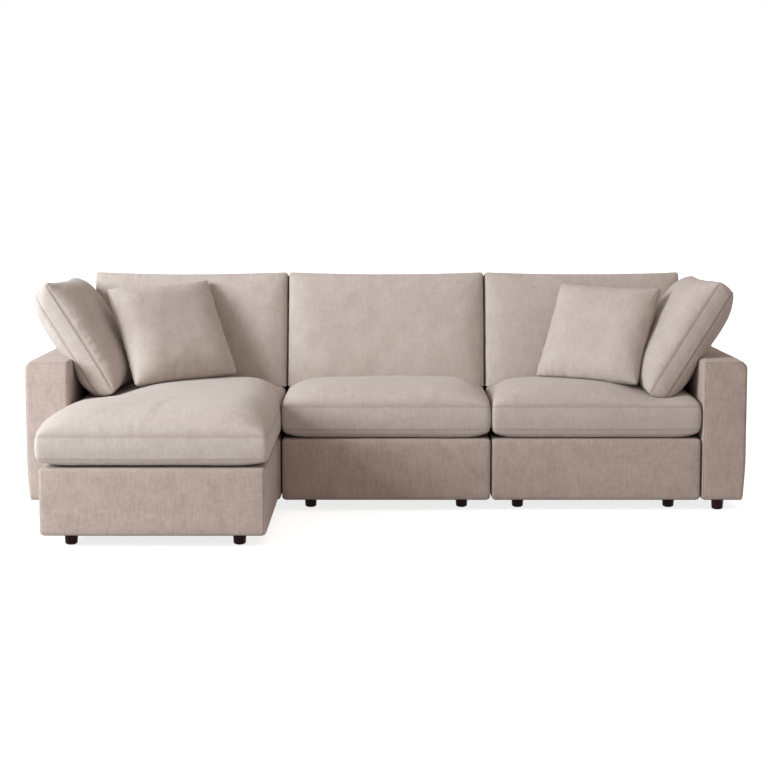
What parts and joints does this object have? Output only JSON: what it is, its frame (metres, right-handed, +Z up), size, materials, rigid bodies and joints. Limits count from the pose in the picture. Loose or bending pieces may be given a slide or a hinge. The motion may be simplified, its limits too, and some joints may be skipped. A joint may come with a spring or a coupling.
{
  "type": "sectional sofa with chaise",
  "caption": "Modular upholstered sofa with a chaise on the left: armless seats between low square arms, a chaise base on round feet, and loose seat, back, side and throw cushions.",
  "frame": {"origin": "middle of the bounding box at the floor, under the feet", "axes": "+X to the right of someone who looks at the front, along the length; the front faces -Y; +Z up"},
  "size_m": [2.962, 1.6787, 0.953],
  "materials": {
    "base_linen": "matte",
    "cushion_linen": "matte",
    "foot_wood": "satin",
    "frame_timber": "matte",
    "spring_steel": "satin",
    "bracket_steel": "satin",
    "dust_cloth": "matte"
  },
  "bodies": {
    "root": {"left_seat_frame": "frame_timber", "left_seat_springs": "spring_steel", "left_seat_base_cover": "base_linen", "left_seat_back_cover": "base_linen", "left_seat_dust_cover": "dust_cloth", "left_seat_foot_front_left": "foot_wood", "left_seat_foot_front_right": "foot_wood", "left_seat_foot_rear_left": "foot_wood", "left_seat_foot_rear_right": "foot_wood", "middle_seat_frame": "frame_timber", "middle_seat_springs": "spring_steel", "middle_seat_base_cover": "base_linen", "middle_seat_back_cover": "base_linen", "middle_seat_dust_cover": "dust_cloth", "middle_seat_foot_front_left": "foot_wood", "middle_seat_foot_front_right": "foot_wood", "middle_seat_foot_rear_left": "foot_wood", "middle_seat_foot_rear_right": "foot_wood", "right_seat_frame": "frame_timber", "right_seat_springs": "spring_steel", "right_seat_base_cover": "base_linen", "right_seat_back_cover": "base_linen", "right_seat_dust_cover": "dust_cloth", "right_seat_foot_front_left": "foot_wood", "right_seat_foot_front_right": "foot_wood", "right_seat_foot_rear_left": "foot_wood", "right_seat_foot_rear_right": "foot_wood", "left_arm_frame": "frame_timber", "left_arm_cover": "base_linen", "left_arm_dust_cover": "dust_cloth", "left_arm_foot_front": "foot_wood", "left_arm_foot_rear": "foot_wood", "right_arm_frame": "frame_timber", "right_arm_cover": "base_linen", "right_arm_dust_cover": "dust_cloth", "right_arm_foot_front": "foot_wood", "right_arm_foot_rear": "foot_wood", "bracket_left_arm": "bracket_steel", "bracket_left_middle": "bracket_steel", "bracket_middle_right": "bracket_steel", "bracket_right_arm": "bracket_steel"},
    "chaise_base": {"chaise_frame": "frame_timber", "chaise_springs": "spring_steel", "chaise_base_cover": "base_linen", "chaise_dust_cover": "dust_cloth", "chaise_foot_front_left": "foot_wood", "chaise_foot_front_right": "foot_wood", "chaise_foot_rear_left": "foot_wood", "chaise_foot_rear_right": "foot_wood"},
    "chaise_cushion": {"chaise_cushion": "cushion_linen"},
    "middle_seat_cushion": {"middle_seat_cushion": "cushion_linen"},
    "right_seat_cushion": {"right_seat_cushion": "cushion_linen"},
    "left_back_cushion": {"left_back_cushion": "cushion_linen"},
    "middle_back_cushion": {"middle_back_cushion": "cushion_linen"},
    "right_back_cushion": {"right_back_cushion": "cushion_linen"},
    "left_side_cushion": {"left_side_cushion": "cushion_linen"},
    "right_side_cushion": {"right_side_cushion": "cushion_linen"},
    "left_throw_pillow": {"left_throw_pillow": "cushion_linen"},
    "right_throw_pillow": {"right_throw_pillow": "cushion_linen"}
  },
  "joints": [
    {"name": "chaise_base_slide", "type": "slide", "parent": "root", "child": "chaise_base", "axis": [0, -1, 0], "range_m": [0, 0.8]},
    {"name": "chaise_cushion_lift", "type": "slide", "parent": "root", "child": "chaise_cushion", "axis": [0, 0, 1], "range_m": [0, 0.7]},
    {"name": "left_back_cushion_lift", "type": "slide", "parent": "chaise_cushion", "child": "left_back_cushion", "axis": [0, 0, 1], "range_m": [0, 0.55]},
    {"name": "left_side_cushion_lift", "type": "slide", "parent": "left_back_cushion", "child": "left_side_cushion", "axis": [0, 0, 1], "range_m": [0, 0.55]},
    {"name": "left_throw_pillow_lift", "type": "slide", "parent": "left_side_cushion", "child": "left_throw_pillow", "axis": [0, 0, 1], "range_m": [0, 0.5]},
    {"name": "middle_seat_cushion_lift", "type": "slide", "parent": "root", "child": "middle_seat_cushion", "axis": [0, 0, 1], "range_m": [0, 0.7]},
    {"name": "middle_back_cushion_lift", "type": "slide", "parent": "middle_seat_cushion", "child": "middle_back_cushion", "axis": [0, 0, 1], "range_m": [0, 0.55]},
    {"name": "right_seat_cushion_lift", "type": "slide", "parent": "root", "child": "right_seat_cushion", "axis": [0, 0, 1], "range_m": [0, 0.7]},
    {"name": "right_back_cushion_lift", "type": "slide", "parent": "right_seat_cushion", "child": "right_back_cushion", "axis": [0, 0, 1], "range_m": [0, 0.55]},
    {"name": "right_side_cushion_lift", "type": "slide", "parent": "right_back_cushion", "child": "right_side_cushion", "axis": [0, 0, 1], "range_m": [0, 0.55]},
    {"name": "right_throw_pillow_lift", "type": "slide", "parent": "right_side_cushion", "child": "right_throw_pillow", "axis": [0, 0, 1], "range_m": [0, 0.5]}
  ]
}
